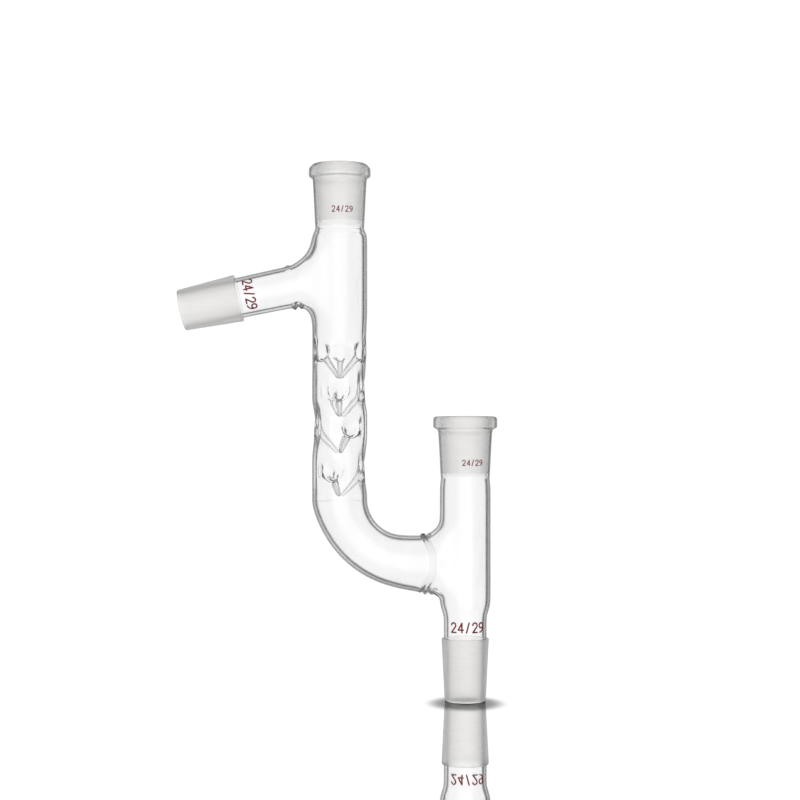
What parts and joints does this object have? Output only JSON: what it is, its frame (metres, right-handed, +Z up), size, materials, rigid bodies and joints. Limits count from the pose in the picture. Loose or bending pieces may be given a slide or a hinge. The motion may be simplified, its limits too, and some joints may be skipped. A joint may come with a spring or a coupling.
{
  "type": "distilling head with vigreux column",
  "caption": "One-piece glass distilling head: straight neck, swept bend, Vigreux column with pulled-in points, sloping side arm, ground tapered joints.",
  "frame": {"origin": "centre of the lower end of the base cone, on the axis of the straight neck", "axes": "+Z up along the straight neck; the column stands parallel to it on the -X side and the side arm slopes down towards -X; +Y is square to the plane of the neck and the column"},
  "size_m": [0.1632, 0.0328, 0.2732],
  "materials": {
    "clear_glass": "clear fire-polished borosilicate",
    "ground_glass": "finely ground, frosted",
    "size_mark": "fired red enamel"
  },
  "bodies": {
    "root": {"base_cone": "ground_glass", "base_shank": "clear_glass", "neck_tube": "clear_glass", "neck_socket": "ground_glass", "bend_weld": "clear_glass", "swept_bend": "clear_glass", "vigreux_column": "clear_glass", "vigreux_points_tier_1": "clear_glass", "vigreux_points_tier_2": "clear_glass", "vigreux_points_tier_3": "clear_glass", "vigreux_points_tier_4": "clear_glass", "column_socket": "ground_glass", "side_arm_weld": "clear_glass", "side_arm": "clear_glass", "side_cone": "ground_glass", "column_socket_size_mark": "size_mark", "side_arm_size_mark": "size_mark", "neck_socket_size_mark": "size_mark", "base_shank_size_mark": "size_mark"}
  },
  "joints": []
}
